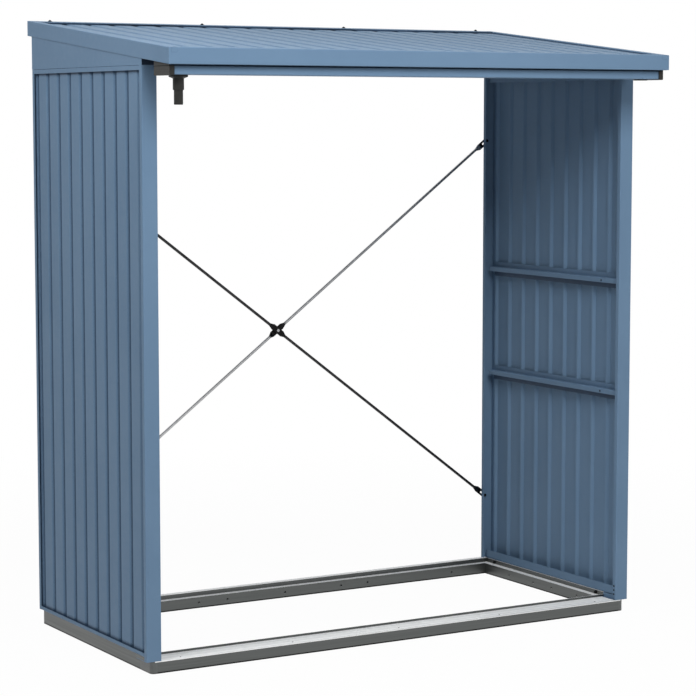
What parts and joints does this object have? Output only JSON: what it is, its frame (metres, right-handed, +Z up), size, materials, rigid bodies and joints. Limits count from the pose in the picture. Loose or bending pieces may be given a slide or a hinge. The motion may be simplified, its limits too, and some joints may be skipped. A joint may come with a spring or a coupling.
{
  "type": "log store",
  "caption": "Open-fronted sheet-steel log store: ribbed side walls and mono-pitch roof with gutter on a low alloy base frame, cross-braced at the open back.",
  "frame": {"origin": "ground level under the middle of the roof's outline", "axes": "+X to the right seen from the open front, +Y to the back, +Z up"},
  "size_m": [1.82, 1.036, 1.99],
  "materials": {
    "painted_steel": "satin",
    "base_alloy": "satin",
    "base_plastic": "satin",
    "sill_alloy": "satin",
    "black_plastic": "matte",
    "zinc_rod": "satin",
    "dark_bolt": "satin"
  },
  "bodies": {
    "root": {"front_left_post": "painted_steel", "front_right_post": "painted_steel", "rear_left_post": "painted_steel", "rear_right_post": "painted_steel", "left_wall_panel": "painted_steel", "right_wall_panel": "painted_steel", "left_bottom_channel": "painted_steel", "right_bottom_channel": "painted_steel", "left_top_rail": "painted_steel", "right_top_rail": "painted_steel", "left_gable_plate": "painted_steel", "right_gable_plate": "painted_steel", "left_upper_rail": "painted_steel", "left_lower_rail": "painted_steel", "right_upper_rail": "painted_steel", "right_lower_rail": "painted_steel", "roof_sheet": "painted_steel", "front_fascia": "painted_steel", "rear_trim": "painted_steel", "left_verge_trim": "painted_steel", "right_verge_trim": "painted_steel", "front_header": "painted_steel", "rear_header": "painted_steel", "gutter": "painted_steel", "base_front_rail": "base_alloy", "base_rear_rail": "base_alloy", "base_left_rail": "base_alloy", "base_right_rail": "base_alloy", "base_corner_caps": "base_plastic", "sill_strip": "sill_alloy", "gutter_left_cap": "black_plastic", "gutter_right_cap": "black_plastic", "gutter_outlet": "black_plastic", "gutter_plug": "black_plastic", "brace_upper_left": "zinc_rod", "brace_upper_right": "zinc_rod", "brace_lower_left": "zinc_rod", "brace_lower_right": "zinc_rod", "brace_centre_bolt": "dark_bolt", "brace_anchor_bolts": "dark_bolt"}
  },
  "joints": []
}
